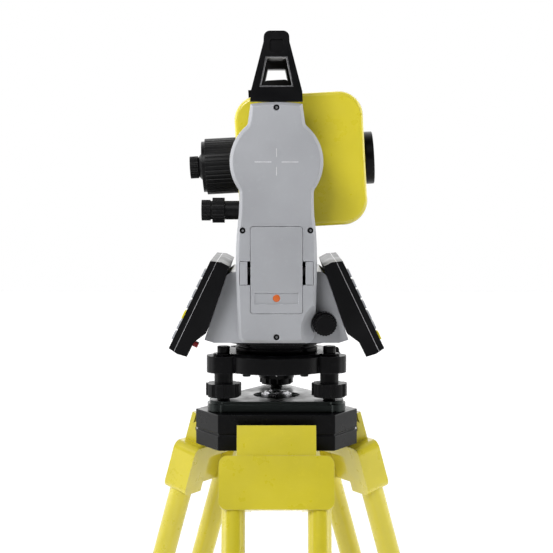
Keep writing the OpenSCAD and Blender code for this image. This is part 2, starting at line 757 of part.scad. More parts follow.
module objective_ring() color(black) on_scope() difference() {
    union() {
        rod_x(objective_r, body_front + 0.8, 96);
        rod_x(tube_r, body_front - 14, body_front + 2);
    }
    rod_x(19.5, body_front - 15, 97);
    rod_x(22.5, 91, 97);
}

module objective_lens() color([0.6, 0.75, 0.85, 0.4]) on_scope() rod_x(19.5, 80, 88.5);

module focusing_lens() color([0.6, 0.75, 0.85, 0.4]) on_scope() difference() {
    rod_x(tube_r - fit, 2 - focus_travel, 14 - focus_travel);
    for (s = [-1, 1]) translate([8 - focus_travel + s * 34, 0, 0]) sphere(r = 30);
}

// Focusing ring: ribbed outside, and turning on the body's rear tube.
module focus_ring() color(black) on_scope() difference() {
    union() {
        translate([-70, 0, 0]) rotate([0, 90, 0]) grooved_knob(27.7, body_back - gap + 70, 40, 1.1);
        rod_x(25.2, -73.5, -69);
    }
    rod_x(rear_tube_r + fit, -75, body_back + 1);
}

// Eyepiece: a stem in the rear tube, a cone, and the knurled dioptre ring.
module eyepiece_ring() color(black) on_scope() difference() {
    union() {
        rod_x(rear_bore_r - fit, -74, -58);
        translate([-78, 0, 0]) rotate([0, 90, 0]) cylinder(r1 = 9.1, r2 = 13.9, h = 4.2);
        translate([-86, 0, 0]) rotate([0, 90, 0]) grooved_knob(11, 8.2, 30, 0.8);
    }
    rod_x(6.5, -87, -70);
    rod_x(12, -72, -57);
}

// Open sight on top of the telescope: a base, and a domed block with its bore.
module sight_collimator() color(black) on_scope() difference() {
    union() {
        block([-24, -7, body_top], [18, 7, body_top + 7.5]);
        along_y(-6, 6) translate([4, body_top + 9.5]) round_rect(13, 6.5, 5);
    }
    translate([0, 0, body_top + 10]) rod_x(3.4, -25, 19);
}

module vertical_circle() color([0.8, 0.9, 0.92, 0.6]) on_head(axis_h) difference() {
    rod_y(34, housing_y + 2.5, housing_y + 5);
    rod_y(trunnion_r - 3, housing_y, housing_y + 8);
}

// ---- Nodes ---------------------------------------------------------------------------

for (i = [0:2]) {
    upper_leg(i);
    clamp_block(i);
    clamp_knob(i);
    lower_leg(i);
    leg_foot(i);
}
for (i = [0:1]) {
    panel_shell(2 * i - 1);
    keypad(2 * i - 1);
    power_key(2 * i - 1);
    battery_latch(2 * i - 1);
}
stand_head();
leg_hinge_pins();
fixing_screw();
base_plate();
fixing_bush();
foot_screw(0);  // foot_screw_left
foot_screw(1);  // foot_screw_right
foot_screw(2);  // foot_screw_rear
foot_screw_caps();
tribrach_body();
lock_knob();
round_level();
spindle();
base_ring();
horizontal_circle();
base_housing();
standard(-1);  // near_standard
standard(1);  // far_standard
near_cover();
far_cover();
housing_screws();
carry_handle();
battery_pack();
horizontal_clamp_ring();
horizontal_tangent_knob();
vertical_clamp_ring();
vertical_tangent_knob();
display_windows();
vertical_circle();
telescope_body();
tilt_axles();
objective_ring();
objective_lens();
focusing_lens();
focus_ring();
eyepiece_ring();
sight_collimator();
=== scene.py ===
"""Theodolite on its tribrach and tripod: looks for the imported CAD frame.

Every length is in metres, in the CAD frame: Z up along the vertical axis, the ground at 0,
the near side cover facing -Y and the objective pointing along +X.
"""

import json
import math

import bmesh
import bpy
from mathutils import Matrix, Vector


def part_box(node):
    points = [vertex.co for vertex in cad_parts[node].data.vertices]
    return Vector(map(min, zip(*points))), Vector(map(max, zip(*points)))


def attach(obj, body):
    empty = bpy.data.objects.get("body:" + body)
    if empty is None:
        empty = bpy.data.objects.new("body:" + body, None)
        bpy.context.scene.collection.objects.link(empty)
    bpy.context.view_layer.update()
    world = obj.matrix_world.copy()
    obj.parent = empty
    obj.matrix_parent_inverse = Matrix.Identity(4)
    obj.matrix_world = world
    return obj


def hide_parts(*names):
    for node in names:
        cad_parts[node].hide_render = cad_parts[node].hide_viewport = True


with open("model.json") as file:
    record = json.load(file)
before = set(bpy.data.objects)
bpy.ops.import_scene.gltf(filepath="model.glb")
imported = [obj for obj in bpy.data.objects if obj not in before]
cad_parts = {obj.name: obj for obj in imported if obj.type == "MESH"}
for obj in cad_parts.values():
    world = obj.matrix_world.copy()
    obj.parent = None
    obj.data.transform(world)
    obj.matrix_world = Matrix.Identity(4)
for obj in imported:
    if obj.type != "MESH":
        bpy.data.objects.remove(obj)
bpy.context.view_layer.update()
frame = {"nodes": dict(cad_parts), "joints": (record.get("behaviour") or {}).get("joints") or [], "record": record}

MM = 0.001
nodes = frame["nodes"]
record = frame["record"]
scene = bpy.context.scene

LEGS = ("front", "right", "left")
SIDES = ("left", "right")


def joint(name):
    return next(j for j in frame["joints"] if j["name"] == name)


# ---- Places worked out from the frame --------------------------------------------------

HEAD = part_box("base_plate")[0].z                      # top of the stand head
AXIS = Vector(joint("telescope_tilt")["pos_m"])       # middle of the tilting axis
FORWARD = Vector(joint("focus_ring_turn")["axis"])    # along the telescope
COVER_FACE = -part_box("near_cover")[0].y               # distance of the covers' outer faces


# ---- Materials -------------------------------------------------------------------------


def set_span(node, low, high, to_low, to_high):
    """Sets a Map Range node to map low..high to to_low..to_high."""
    for key, number in zip(("From Min", "From Max", "To Min", "To Max"), (low, high, to_low, to_high)):
        node.inputs[key].default_value = number


class Nodes:
    """A small builder for a material's node tree."""

    def __init__(self, name):
        self.material = bpy.data.materials.new(name)
        self.material.use_nodes = True
        self.tree = self.material.node_tree
        self.shader = self.tree.nodes["Principled BSDF"]
        self.where = self.add("ShaderNodeTexCoord").outputs["Object"]

    def add(self, kind, **settings):
        node = self.tree.nodes.new(kind)
        for key, value in settings.items():
            if key in node.inputs:
                node.inputs[key].default_value = value
            else:
                setattr(node, key, value)
        return node

    def join(self, out, into):
        self.tree.links.new(out, into)

    def noise(self, scale, detail=3.0, rough=0.5, stretch=None):
        """Noise of the given scale, in cycles a metre, stretched along an axis if asked."""
        where = self.where
        if stretch:
            mapping = self.add("ShaderNodeMapping")
            mapping.inputs["Scale"].default_value = stretch
            self.join(where, mapping.inputs["Vector"])
            where = mapping.outputs["Vector"]
        node = self.add("ShaderNodeTexNoise")
        node.inputs["Scale"].default_value = scale
        node.inputs["Detail"].default_value = detail
        node.inputs["Roughness"].default_value = rough
        self.join(where, node.inputs["Vector"])
        return node.outputs["Fac"]

    def span(self, value, low, high, to_low=0.0, to_high=1.0):
        """Maps a value from low..high to to_low..to_high, clamped."""
        node = self.add("ShaderNodeMapRange")
        set_span(node, low, high, to_low, to_high)
        self.join(value, node.inputs["Value"])
        return node.outputs["Result"]

    def mix(self, amount, a, b):
        """Colour a where amount is 0 and b where it is 1."""
        node = self.add("ShaderNodeMix", data_type="RGBA")
        for socket, value in zip((node.inputs[6], node.inputs[7]), (a, b)):
            if isinstance(value, (tuple, list)):
                socket.default_value = (*value[:3], 1.0)
            else:
                self.join(value, socket)
        self.join(amount, node.inputs[0])
        return node.outputs[2]

    def math(self, kind, a, b):
        node = self.add("ShaderNodeMath", operation=kind)
        for socket, value in zip(node.inputs, (a, b)):
            if isinstance(value, (int, float)):
                socket.default_value = value
            else:
                self.join(value, socket)
        return node.outputs[0]

    def edges(self, radius):
        """About 1 along sharp edges and 0 on flat stretches, as far from the edge as radius."""
        bevel = self.add("ShaderNodeBevel", samples=6)
        bevel.inputs["Radius"].default_value = radius
        flat = self.add("ShaderNodeNewGeometry")
        dot = self.add("ShaderNodeVectorMath", operation="DOT_PRODUCT")
        self.join(bevel.outputs["Normal"], dot.inputs[0])
        self.join(flat.outputs["Normal"], dot.inputs[1])
        return self.span(dot.outputs["Value"], 0.985, 0.92)

    def bump(self, height, strength, distance):
        node = self.add("ShaderNodeBump")
        node.inputs["Strength"].default_value = strength
        node.inputs["Distance"].default_value = distance
        self.join(height, node.inputs["Height"])
        self.join(node.outputs["Normal"], self.shader.inputs["Normal"])

    def set(self, **values):
        for key, value in values.items():
            self.shader.inputs[key.replace("_", " ")].default_value = value


def tinted(colour, factor, offset=0.0):
    """The colour times a factor, plus an offset, and at most 1."""
    return tuple(min(1, c * factor + offset) for c in colour)


def paint(name, colour, rough, coat=0.0, worn=None, wear=0.35, spec=0.5):
    """Sprayed paint: fine orange peel, slow colour drift, and edges rubbed towards worn."""
    n = Nodes(name)
    drift = n.noise(14.0, 4.0)
    dust = n.noise(240.0, 5.0, 0.65)
    body = n.mix(n.span(drift, 0.35, 0.65), tinted(colour, 0.88), colour)
    speck = n.mix(n.span(dust, 0.56, 0.72, 0.0, 0.25), body, tinted(colour, 1.12, 0.01))
    scuffs = n.noise(90.0, 6.0, 0.7)
    rub = n.math("MULTIPLY", n.edges(0.0009), n.span(scuffs, 0.42, 0.62, 0.0, wear))
    n.join(n.mix(rub, speck, worn or tinted(colour, 1.4, 0.05)), n.shader.inputs["Base Color"])
    patch = n.noise(55.0, 5.0, 0.6)
    n.join(n.span(patch, 0.3, 0.7, rough * 0.82, rough * 1.2), n.shader.inputs["Roughness"])
    n.bump(n.noise(1500.0, 2.0), 0.25, 0.00005)
    n.set(Coat_Weight=coat, Coat_Roughness=0.12, Specular_IOR_Level=spec)
    return n.material


def plastic(name, colour, rough=0.34, grain=2600.0, depth=0.3, wear=0.3, spec=0.3):
    """Moulded plastic with a fine spark-eroded grain, handling shine and dust."""
    n = Nodes(name)
    drift = n.noise(20.0, 5.0, 0.6)
    body = n.mix(n.span(drift, 0.4, 0.75, 0.0, 0.6), colour, tinted(colour, 1.4, 0.003))
    rub = n.math("MULTIPLY", n.edges(0.0008), n.span(n.noise(130.0, 5.0), 0.42, 0.64, 0.0, wear))
    n.join(n.mix(rub, body, tuple(c * 3 + 0.05 for c in colour)), n.shader.inputs["Base Color"])
    patch = n.noise(38.0, 6.0, 0.65)
    n.join(n.span(patch, 0.3, 0.7, rough * 0.75, rough * 1.2), n.shader.inputs["Roughness"])
    n.bump(n.noise(grain, 3.0, 0.6), depth, 0.00004)
    n.set(Specular_IOR_Level=spec)
    return n.material


def metal(name, colour, rough):
    """Machined metal with fine tool marks and a few dull patches."""
    n = Nodes(name)
    marks = n.noise(900.0, 4.0, 0.6, (1.0, 1.0, 12.0))
    patch = n.noise(45.0, 5.0, 0.6)
    body = n.mix(n.span(marks, 0.3, 0.7), tinted(colour, 0.8), colour)
    n.join(n.mix(n.span(patch, 0.5, 0.75, 0.0, 0.5), body, tinted(colour, 0.55)),
           n.shader.inputs["Base Color"])
    n.join(n.span(patch, 0.3, 0.7, rough * 0.75, rough * 1.4), n.shader.inputs["Roughness"])
    n.bump(marks, 0.12, 0.00004)
    n.set(Metallic=1.0)
    return n.material


def glass(name, colour, rough=0.02, smear=0.12, weight=1.0):
    """Clear glass with a faint film of handling smears."""
    n = Nodes(name)
    film = n.noise(60.0, 6.0, 0.7)
    n.join(n.span(film, 0.45, 0.75, rough, rough + smear), n.shader.inputs["Roughness"])
    n.join(n.mix(n.span(film, 0.5, 0.8, 0.0, 0.3), colour, tinted(colour, 0.8)),
           n.shader.inputs["Base Color"])
    n.set(Transmission_Weight=weight, IOR=1.5)
    return n.material


YELLOW = (0.62, 0.53, 0.028)
GREY = (0.33, 0.337, 0.358)
BLACK = (0.003, 0.003, 0.0035)
MATERIALS = {
    "yellow_paint": paint("yellow_paint", YELLOW, 0.3, coat=0.3, worn=(0.5, 0.47, 0.3), wear=0.5),
    "grey_paint": paint("grey_paint", GREY, 0.38, worn=(0.62, 0.63, 0.68), wear=0.8),
    "black_paint": paint("black_paint", BLACK, 0.3, worn=(0.1, 0.1, 0.11), wear=0.5, spec=0.1),
    "black_plastic": plastic("black_plastic", BLACK, 0.36, spec=0.1),
    "black_rubber": plastic("black_rubber", (0.004, 0.004, 0.0045), 0.4, 1800.0, 0.4, 0.15, 0.14),
    "tool_steel": metal("tool_steel", (0.02, 0.023, 0.022), 0.34),
    "bright_steel": metal("bright_steel", (0.62, 0.62, 0.64), 0.28),
    "key_grey": plastic("key_grey", (0.42, 0.43, 0.46), 0.5, 2200.0, 0.25),
    "key_yellow": plastic("key_yellow", (0.72, 0.62, 0.03), 0.5, 2200.0, 0.25),
    "display_glass": glass("display_glass", (0.20, 0.26, 0.22), 0.08, weight=0.35),
    "lens_glass": glass("lens_glass", (0.55, 0.62, 0.85)),
    "circle_glass": glass("circle_glass", (0.85, 0.92, 0.93)),
    "signal_orange": paint("signal_orange", (0.55, 0.11, 0.012), 0.4, wear=0.2),
    "signal_red": plastic("signal_red", (0.22, 0.008, 0.01), 0.35),
    # Light grey paint for the handle's window chamfers: a painted highlight that stands in for the bright
    # reflection along those edges.
    "rim_painted_highlight": paint("rim_painted_highlight", (0.42, 0.42, 0.44), 0.35, wear=0.2),
    "mark_white": paint("mark_white", (0.75, 0.75, 0.75), 0.5, wear=0.2),
    "lcd_ink": plastic("lcd_ink", (0.012, 0.016, 0.02), 0.4, 3000.0, 0.1, 0.0),
    "vial_fluid": glass("vial_fluid", (0.55, 0.80, 0.25), 0.02, 0.05),
}


def dress(obj, material):
    """Gives an object one material only."""
    obj.data.materials.clear()
    obj.data.materials.append(material)


SLOT_OF = {s["node"]: s["material_slot"] for s in record["subparts"]}
for name, obj in nodes.items():
    dress(obj, MATERIALS[SLOT_OF[name]])


# ---- Softened edges on the CAD nodes ---------------------------------------------------

# Width of the rounding on each node's edges, in millimetres; the others get EDGE.
EDGE = 0.4
EDGE_OF = {
    "carry_handle": 1.6, "stand_head": 1.4, "tribrach_body": 0.8, "base_housing": 1.0,
    "objective_ring": 0.8, "telescope_body": 0.6,
    "panel_shell_left": 0.45, "panel_shell_right": 0.45, "sight_collimator": 0.8,
    "focus_ring": 0.25, "horizontal_clamp_ring": 0.2, "horizontal_tangent_knob": 0.2,
    "vertical_clamp_ring": 0.2, "vertical_tangent_knob": 0.2, "eyepiece_ring": 0.2,
    "keypad_left": 0.35, "keypad_right": 0.35, "housing_screws": 0.15, "base_plate": 0.6,
}
EDGE_OF.update({f"upper_leg_{leg}": 1.2 for leg in LEGS})
EDGE_OF.update({f"clamp_block_{leg}": 1.2 for leg in LEGS})

# Width of the larger rounding where a node's broad face meets its side walls.
RIM_OF = {"telescope_body": 4.0}


def rim_vertices(obj, across):
    """Indices of the vertices around the outline of the faces that look along +across or -across.

    Holes in those faces are left out: only the longest chain of edges at each level counts.
    """
    places = {}
    index = [places.setdefault(tuple(round(c, 6) for c in v.co), len(places))
             for v in obj.data.vertices]
    spots = {i: Vector(spot) for spot, i in places.items()}
    sides = {}
    for face in obj.data.polygons:
        corners = [index[i] for i in face.vertices]
        for a, b in zip(corners, corners[1:] + corners[:1]):
            sides.setdefault(frozenset((a, b)), []).append(face.normal.dot(across))
    chains = {}
    for edge, facing in sides.items():
        if len(edge) == 2 and max(map(abs, facing)) > 0.999 and min(map(abs, facing)) < 0.2:
            a, b = edge
            level = round(spots[a].dot(across), 4)
            if level == round(spots[b].dot(across), 4):
                chains.setdefault((level, a), set()).add(b)
                chains.setdefault((level, b), set()).add(a)
    best = {}
    seen = set()
    for start in chains:
        if start in seen:
            continue
        group, stack = set(), [start]
        while stack:
            at = stack.pop()
            if at not in group:
                group.add(at)
                stack.extend((at[0], other) for other in chains[at])
        seen |= group
        points = [spots[i] for _, i in group]
        size = (max(p.z for p in points) - min(p.z for p in points)
                + max(p.x for p in points) - min(p.x for p in points))
        best[start[0]] = max(best.get(start[0], (0, ())), (size, tuple(group)))
    reach = max(size for size, _ in best.values())
    chosen = {i for size, group in best.values() if size > 0.8 * reach for _, i in group}
    return [i for i in range(len(index)) if index[i] in chosen]


def bevel(obj, name, width, segments, angle=None, group=None):
    """Rounds edges sharper than an angle in degrees, or those of a vertex group; width in mm."""
    modifier = obj.modifiers.new(name, "BEVEL")
    modifier.width = width * MM
    modifier.segments = segments
    modifier.harden_normals = False
    if group:
        modifier.limit_method = "VGROUP"
        modifier.vertex_group = group
        modifier.use_clamp_overlap = False
    else:
        modifier.limit_method = "ANGLE"
        modifier.angle_limit = math.radians(angle)


def soften(obj, width, rim=None):
    """Welds the mesh, dissolves its flat triangles and rounds its edges."""
    for name in ("custom_normal", "sharp_edge", "sharp_face"):
        if name in obj.data.attributes:
            obj.data.attributes.remove(obj.data.attributes[name])
    weld = obj.modifiers.new("weld", "WELD")
    weld.merge_threshold = 1e-6
    flat = obj.modifiers.new("flat", "DECIMATE")
    flat.decimate_type = "DISSOLVE"
    flat.angle_limit = math.radians(0.5)
    flat.delimit = {"MATERIAL"}
    if rim:
        group = obj.vertex_groups.new(name="rim")
        group.add(rim_vertices(obj, FORWARD.cross(Vector((0, 0, 1))).normalized()), 1.0, "REPLACE")
        bevel(obj, "rim", rim, 5, group="rim")
    bevel(obj, "edges", width, 3, angle=35)
    normals = obj.modifiers.new("normals", "WEIGHTED_NORMAL")
    normals.keep_sharp = True


def repaint(obj, material, low, high):
    """Gives another material to the faces whose middles lie in a box."""
    obj.data.materials.append(material)
    slot = len(obj.data.materials) - 1
    for face in obj.data.polygons:
        if all(low[k] < face.center[k] < high[k] for k in range(3)):
            face.material_index = slot


# The round underside of the housing and the vertical clamp's sleeve are black.
repaint(nodes["base_housing"], MATERIALS["black_paint"], (-1, -1, 0), (1, 1, HEAD + 70.4 * MM))
repaint(nodes["near_standard"], MATERIALS["black_plastic"],
        (-0.1, -0.0625, HEAD + 0.185), (-0.0345, -0.0405, HEAD + 0.2105))

for name, obj in nodes.items():
    soften(obj, EDGE_OF.get(name, EDGE), RIM_OF.get(name))


# ---- Shapes for the added pieces -------------------------------------------------------


def piece(name, bm, body, slot, material=None, width=0.0):
    """A named piece that rides on a body, with softened edges if width is given (mm)."""
    bmesh.ops.recalc_face_normals(bm, faces=bm.faces)
    data = bpy.data.meshes.new(name)
    bm.to_mesh(data)
    bm.free()
    obj = bpy.data.objects.new(name, data)
    scene.collection.objects.link(obj)
    dress(obj, MATERIALS[material or slot])
    if width:
        bevel(obj, "edges", width, 3, angle=30)
    for face in data.polygons:
        face.use_smooth = True
    data.set_sharp_from_angle(angle=math.radians(35))
    normals = obj.modifiers.new("normals", "WEIGHTED_NORMAL")
    normals.keep_sharp = True
    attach(obj, body)
    return obj


def prism(outline, depth, place, bm=None):
    """A closed outline of (x, y) in millimetres, extruded from z = 0 to depth, then placed."""
    bm = bm or bmesh.new()
    low = [bm.verts.new(place @ Vector((x * MM, y * MM, 0))) for x, y in outline]
    high = [bm.verts.new(place @ Vector((x * MM, y * MM, depth * MM))) for x, y in outline]
    bm.faces.new(low[::-1])
    bm.faces.new(high)
    for i in range(len(low)):
        j = (i + 1) % len(low)
        bm.faces.new((low[i], low[j], high[j], high[i]))
    return bm


def lathe(profile, place, steps=48, bm=None):
    """Turns a profile of (radius, height) in millimetres about Z; radius 0 closes an end."""
    bm = bm or bmesh.new()
    rings = []
    for radius, height in profile:
        if radius == 0:
            rings.append([bm.verts.new(place @ Vector((0, 0, height * MM)))])
        else:
            rings.append([
                bm.verts.new(place @ Vector((radius * MM * math.cos(2 * math.pi * k / steps),
                                             radius * MM * math.sin(2 * math.pi * k / steps),
                                             height * MM)))
                for k in range(steps)])
    for a, b in zip(rings, rings[1:]):
        for k in range(steps):
            j = (k + 1) % steps
            corners = [a[k % len(a)], a[j % len(a)], b[j % len(b)], b[k % len(b)]]
            unique = list(dict.fromkeys(corners))
            if len(unique) > 2:
                bm.faces.new(unique)
    return bm


def rounded(half_x, half_y, radius):
    """Outline of a rectangle with round corners, in millimetres."""
    steps = 6
    points = []
    for turn, (sx, sy) in enumerate(((1, 1), (-1, 1), (-1, -1), (1, -1))):
        for k in range(steps + 1):
            angle = math.pi / 2 * (turn + k / steps)
            points.append((sx * (half_x - radius) + radius * math.cos(angle),
                           sy * (half_y - radius) + radius * math.sin(angle)))
    return points


def frame_strip(outer, inner, lift_outer, lift_inner, place):
    """A closed band between two outlines of the same length, each at its own height (mm)."""
    thick = 0.5
    bm = bmesh.new()
    count = len(outer)
    loops = []
    for outline, lift in ((outer, lift_outer - thick), (outer, lift_outer), (inner, lift_inner),
                          (inner, lift_inner - thick)):
        loops.append([bm.verts.new(place @ Vector((x * MM, y * MM, lift * MM)))
                      for x, y in outline])
    for a, b in zip(loops, loops[1:] + loops[:1]):
        for k in range(count):
            j = (k + 1) % count
            bm.faces.new((a[k], a[j], b[j], b[k]))
    return bm


def facing(x, y, z, side=-1):
    """A place whose local Z points out of a side cover: -Y on side -1 and +Y on side 1."""
    turn = Matrix.Rotation(-side * math.pi / 2, 4, "X")
    return Matrix.Translation((x * MM, y * MM, z)) @ turn


FLIP = Matrix.Rotation(math.pi, 4, "X")     # turns local Z round


# ---- Side covers -----------------------------------------------------------------------

WALL = 3.6                      # thickness of the covers' shell
# Section of the rim between a cover's face and its side: distance in, and depth below the face.
RIM = ((0, 3.9), (0.1, 3.4), (0.45, 2.7), (2.6, 0.55), (3.1, 0.14), (3.7, 0))
SCREWS = ((0, 51), (-32, -64.4), (32, -64.4), (0, -165.5))      # about the tilting axis
DOOR = (25.0, 41.5, -101.9)     # half width, half height and middle of the battery opening
LATCH = (6.0, 11.4, 29.1, -104.8)   # half width, half height and middle of a latch opening
SCOOP = (53.3, -159.0)          # middle of the finger scoop
SCOOP_DEPTH = 14.0
SCOOP_MOUTH = 30.6              # radius at the face
SCOOP_FLOOR = 16.0              # radius at the bottom


def arc(x, z, radius, start, end, steps):
    """Points on an arc, in degrees anticlockwise from +X."""
    turns = [math.radians(start + (end - start) * k / steps) for k in range(steps + 1)]
    return [(x + radius * math.cos(t), z + radius * math.sin(t)) for t in turns]


def cover_outline():
    """The covers' outline about the tilting axis, clockwise from the middle of the top."""
    half = arc(0, -90, 146.3, 90, 80.4, 6)[1:]
    half += arc(32.7, 37.96, 6, 180, 229.5, 6)
    half += arc(0, 0, 44.1, 49.2, -34.2, 28)[1:]
    half += arc(43.1, -29.3, 8, 145.7, 180, 5)[1:]
    half += [(35.1, -38), (35.6, -50), (37.5, -67), (38.2, -80), (38.4, -93), (38.2, -112),
             (37.6, -130), (36.9, -148)]
    half += arc(28.4, -163.4, 8, 0, -90, 8)
    return half + [(-x, z) for x, z in reversed(half)]


def inwards(outline, distance):
    """The outline with each corner moved inwards; it runs clockwise."""
    moved = []
    for k, (x, z) in enumerate(outline):
        (ax, az), (bx, bz) = outline[k - 1], outline[(k + 1) % len(outline)]
        first = Vector((x - ax, z - az)).normalized()
        second = Vector((bx - x, bz - z)).normalized()
        normal = Vector((first.y + second.y, -first.x - second.x)).normalized()
        square = Vector((first.y, -first.x))
        reach = distance / max(0.5, normal.dot(square))
        moved.append((x + normal.x * reach, z + normal.y * reach))
    return moved


def stack(levels, place):
    """A closed body through outlines at rising heights: (outline, height) in millimetres."""
    bm = bmesh.new()
    rings = [[bm.verts.new(place @ Vector((x * MM, y * MM, h * MM))) for x, y in outline]
             for outline, h in levels]
    for a, b in zip(rings, rings[1:]):
        for k in range(len(a)):
            j = (k + 1) % len(a)
            bm.faces.new((a[k], a[j], b[j], b[k]))
    bm.faces.new(rings[0])
    bm.faces.new(rings[-1])
    bmesh.ops.recalc_face_normals(bm, faces=bm.faces)
    return bm


def combine(bm, other, operation):
    """The exact union, difference or intersection of two bodies, as a new bmesh."""
    objects = []
    for part in (bm, other):
        bmesh.ops.recalc_face_normals(part, faces=part.faces)
        data = bpy.data.meshes.new("working")
        part.to_mesh(data)
        part.free()
        obj = bpy.data.objects.new("working", data)
        scene.collection.objects.link(obj)
        objects.append(obj)
    modifier = objects[0].modifiers.new("combine", "BOOLEAN")
    modifier.operation = operation
    modifier.solver = "EXACT"
    modifier.object = objects[1]
    bpy.context.view_layer.update()
    result = bmesh.new()
    result.from_mesh(objects[0].evaluated_get(bpy.context.evaluated_depsgraph_get()).to_mesh())
    for obj in objects:
        data = obj.data
        bpy.data.objects.remove(obj)
        bpy.data.meshes.remove(data)
    return result


def axis_cross(bm, place, inset, half_width, depth):
    """The four bars of the tilting axis mark, each shortened by inset at both ends (mm)."""
    for near, far in ((-20.5, -4.8), (4.8, 20.5)):
        low, high = near + inset, far - inset
        prism([(low, -half_width), (high, -half_width), (high, half_width), (low, half_width)],
              depth, place, bm)
    for near, far in ((-12.8, -4.6), (4.6, 12.8)):
        low, high = near + inset, far - inset
        prism([(-half_width, low), (half_width, low), (half_width, high), (-half_width, high)],
              depth, place, bm)


def cover_body(side):
    """A cover as an open-backed shell with a rounded rim, and its screws' seats."""
    face = COVER_FACE / MM
    depth = face - abs(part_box("near_cover")[1].y) / MM
    place = facing(0, side * (face - depth), AXIS.z, side)
    turned = [(x, -side * z) for x, z in cover_outline()]
    rim = [(inwards(turned, -side * distance), depth - drop) for distance, drop in RIM]
    body = stack([(turned, 0)] + rim, place)
    lining = inwards(turned, -side * WALL)
    hollow = stack([(lining, -1), (lining, depth - WALL)], place)
    if side < 0:
        thick = 3.4
        liner = lathe([(0, 0.01), (33.9, 0.01), (19.3, SCOOP_DEPTH + thick), (0, SCOOP_DEPTH + thick)],
                      scoop_place(), 72)
        hollow = combine(hollow, liner, "DIFFERENCE")
    body = combine(body, hollow, "DIFFERENCE")
    seats = bmesh.new()
    for x, z in SCREWS:
        seat = facing(x, side * face, AXIS.z + z * MM, side)
        lathe([(0, -1.6), (2.8, -1.6), (2.8, -0.7), (3.6, 0.05), (3.6, 1), (0, 1)], seat, 32, seats)
    axis_cross(seats, facing(0, side * (face - 0.5), AXIS.z, side), 0, 0.3, 1.5)
    return combine(body, seats, "DIFFERENCE")


def scoop_place():
    """Middle of the finger scoop, with local Z running into the near cover."""
    x, z = SCOOP
    return facing(x, -COVER_FACE / MM, AXIS.z + z * MM) @ FLIP


def make_covers():
    """Both covers, and the openings in the near one for the battery, latches and knob."""
    near = cover_body(-1)
    behind = -60            # a plane behind the cover, from which the openings are cut
    through = 30
    half, tall, middle = DOOR
    cuts = [prism(rounded(half, tall, 3), through, facing(0, behind, AXIS.z + middle * MM))]
    half, tall, x, middle = LATCH
    cuts += [prism(rounded(half, tall, 1.2), through, facing(sign * x, behind, AXIS.z + middle * MM))
             for sign in (-1, 1)]
    cuts.append(lathe([(0, -1), (SCOOP_MOUTH, -1), (SCOOP_MOUTH, 0), (SCOOP_FLOOR, SCOOP_DEPTH),
                       (0, SCOOP_DEPTH)], scoop_place(), 72))
    cuts.append(lathe([(0, -5), (13.5, -5), (13.5, through), (0, through)],
                      facing(46, behind, HEAD + 90 * MM)))
    for cut in cuts:
        near = combine(near, cut, "DIFFERENCE")
    cover = piece("near_side_cover", near, "alidade", "grey_paint", width=0.3)
    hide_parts("near_cover")
    far = piece("far_side_cover", cover_body(1), "alidade", "grey_paint", width=0.3)
    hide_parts("far_cover")
    for name, side in (("near", -1), ("far", 1)):
        lines = bmesh.new()
        axis_cross(lines, facing(0, side * (COVER_FACE / MM - 0.52), AXIS.z, side), 0.1, 0.24, 0.3)
        piece(f"axis_mark_{name}", lines, "alidade", "key_grey", "mark_white")


# ---- Battery, tribrach and handle details ----------------------------------------------


def make_marks():
    """The orange dot on the battery's strip, and the white arrow on the tribrach's boss."""
    dot = facing(0, -COVER_FACE / MM + 1.0, AXIS.z - 0.1285)
    crowned = [(0, 0), (3.45, 0), (3.45, 0.35), (3.1, 0.6), (1.6, 0.75), (0, 0.8)]
    piece("battery_dot", lathe(crowned, dot), "battery_pack", "key_yellow", "signal_orange")
    arrow = facing(0, -17.6, HEAD + 33.2 * MM)
    piece("tribrach_arrow", prism([(-2.1, 1.8), (0, -1.9), (2.1, 1.8)], 0.7, arrow), "stand",
          "key_grey", "mark_white")


def make_tribrach_screws():
    """Cap screws that stand out under the tribrach body, each with a round socket in its head."""
    bm = bmesh.new()
    for x in (-29.5, 27.5):
        place = Matrix.Translation((x * MM, -30 * MM, HEAD + 39.5 * MM)) @ FLIP
        lathe([(0, 0), (2.2, 0), (2.2, 1.8), (4.0, 1.8), (4.0, 5.2), (3.6, 5.7), (1.9, 5.7),
               (1.9, 3.4), (0, 3.4)], place, 24, bm)
    piece("tribrach_screws", bm, "stand", "tool_steel")


def make_level():
    """Vial of the round level: the fluid, a bubble in it, and the black ring on its clear lid."""
    angle = math.radians(150)
    reach = 47 * MM
    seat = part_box("round_level")[1].z
    place = Matrix.Translation((reach * math.cos(angle), reach * math.sin(angle), seat - 6.4 * MM))
    piece("level_fluid", lathe([(0, 0), (6.2, 0), (6.2, 4.6), (4.0, 5.1), (0, 5.4)], place), "stand",
          "circle_glass", "vial_fluid")
    ring = [(2.7, 5.35), (3.1, 5.3), (3.1, 5.5), (2.7, 5.55), (2.7, 5.35)]
    piece("level_ring", lathe(ring, place), "stand", "black_paint")
    bubble = place @ Matrix.Translation((0.7 * MM, -0.3 * MM, 0))
    piece("level_bubble", lathe([(0, 5.42), (1.2, 5.42), (1.9, 5.6), (1.4, 5.85), (0, 5.95)], bubble),
          "stand", "circle_glass")


def make_handle_rims():
    """Chamfers round the handle's finger windows; their light grey is a painted highlight."""
    for name, side in (("near", -1), ("far", 1)):
        outer, inner = [], []
        for sx, sz, x, z in ((-1, -1, 14.8, 71), (1, -1, 14.8, 71),
                             (1, 1, 9.2, 97.6), (-1, 1, 9.2, 97.6)):
            outer.append((sx * (x + 0.8), -side * (z + sz * 0.7)))
            inner.append((sx * (x - 0.3), -side * (z - sz * 0.3)))
        place = facing(0, side * 83.0, AXIS.z, side)
        # The strips' light grey colour is a painted highlight of the chamfers' reflection.
        piece(f"handle_rim_highlight_{name}", frame_strip(outer, inner, 0.2, -1.2, place), "alidade",
              "bright_steel", "rim_painted_highlight", width=0.2)


# ---- Key panels ------------------------------------------------------------------------


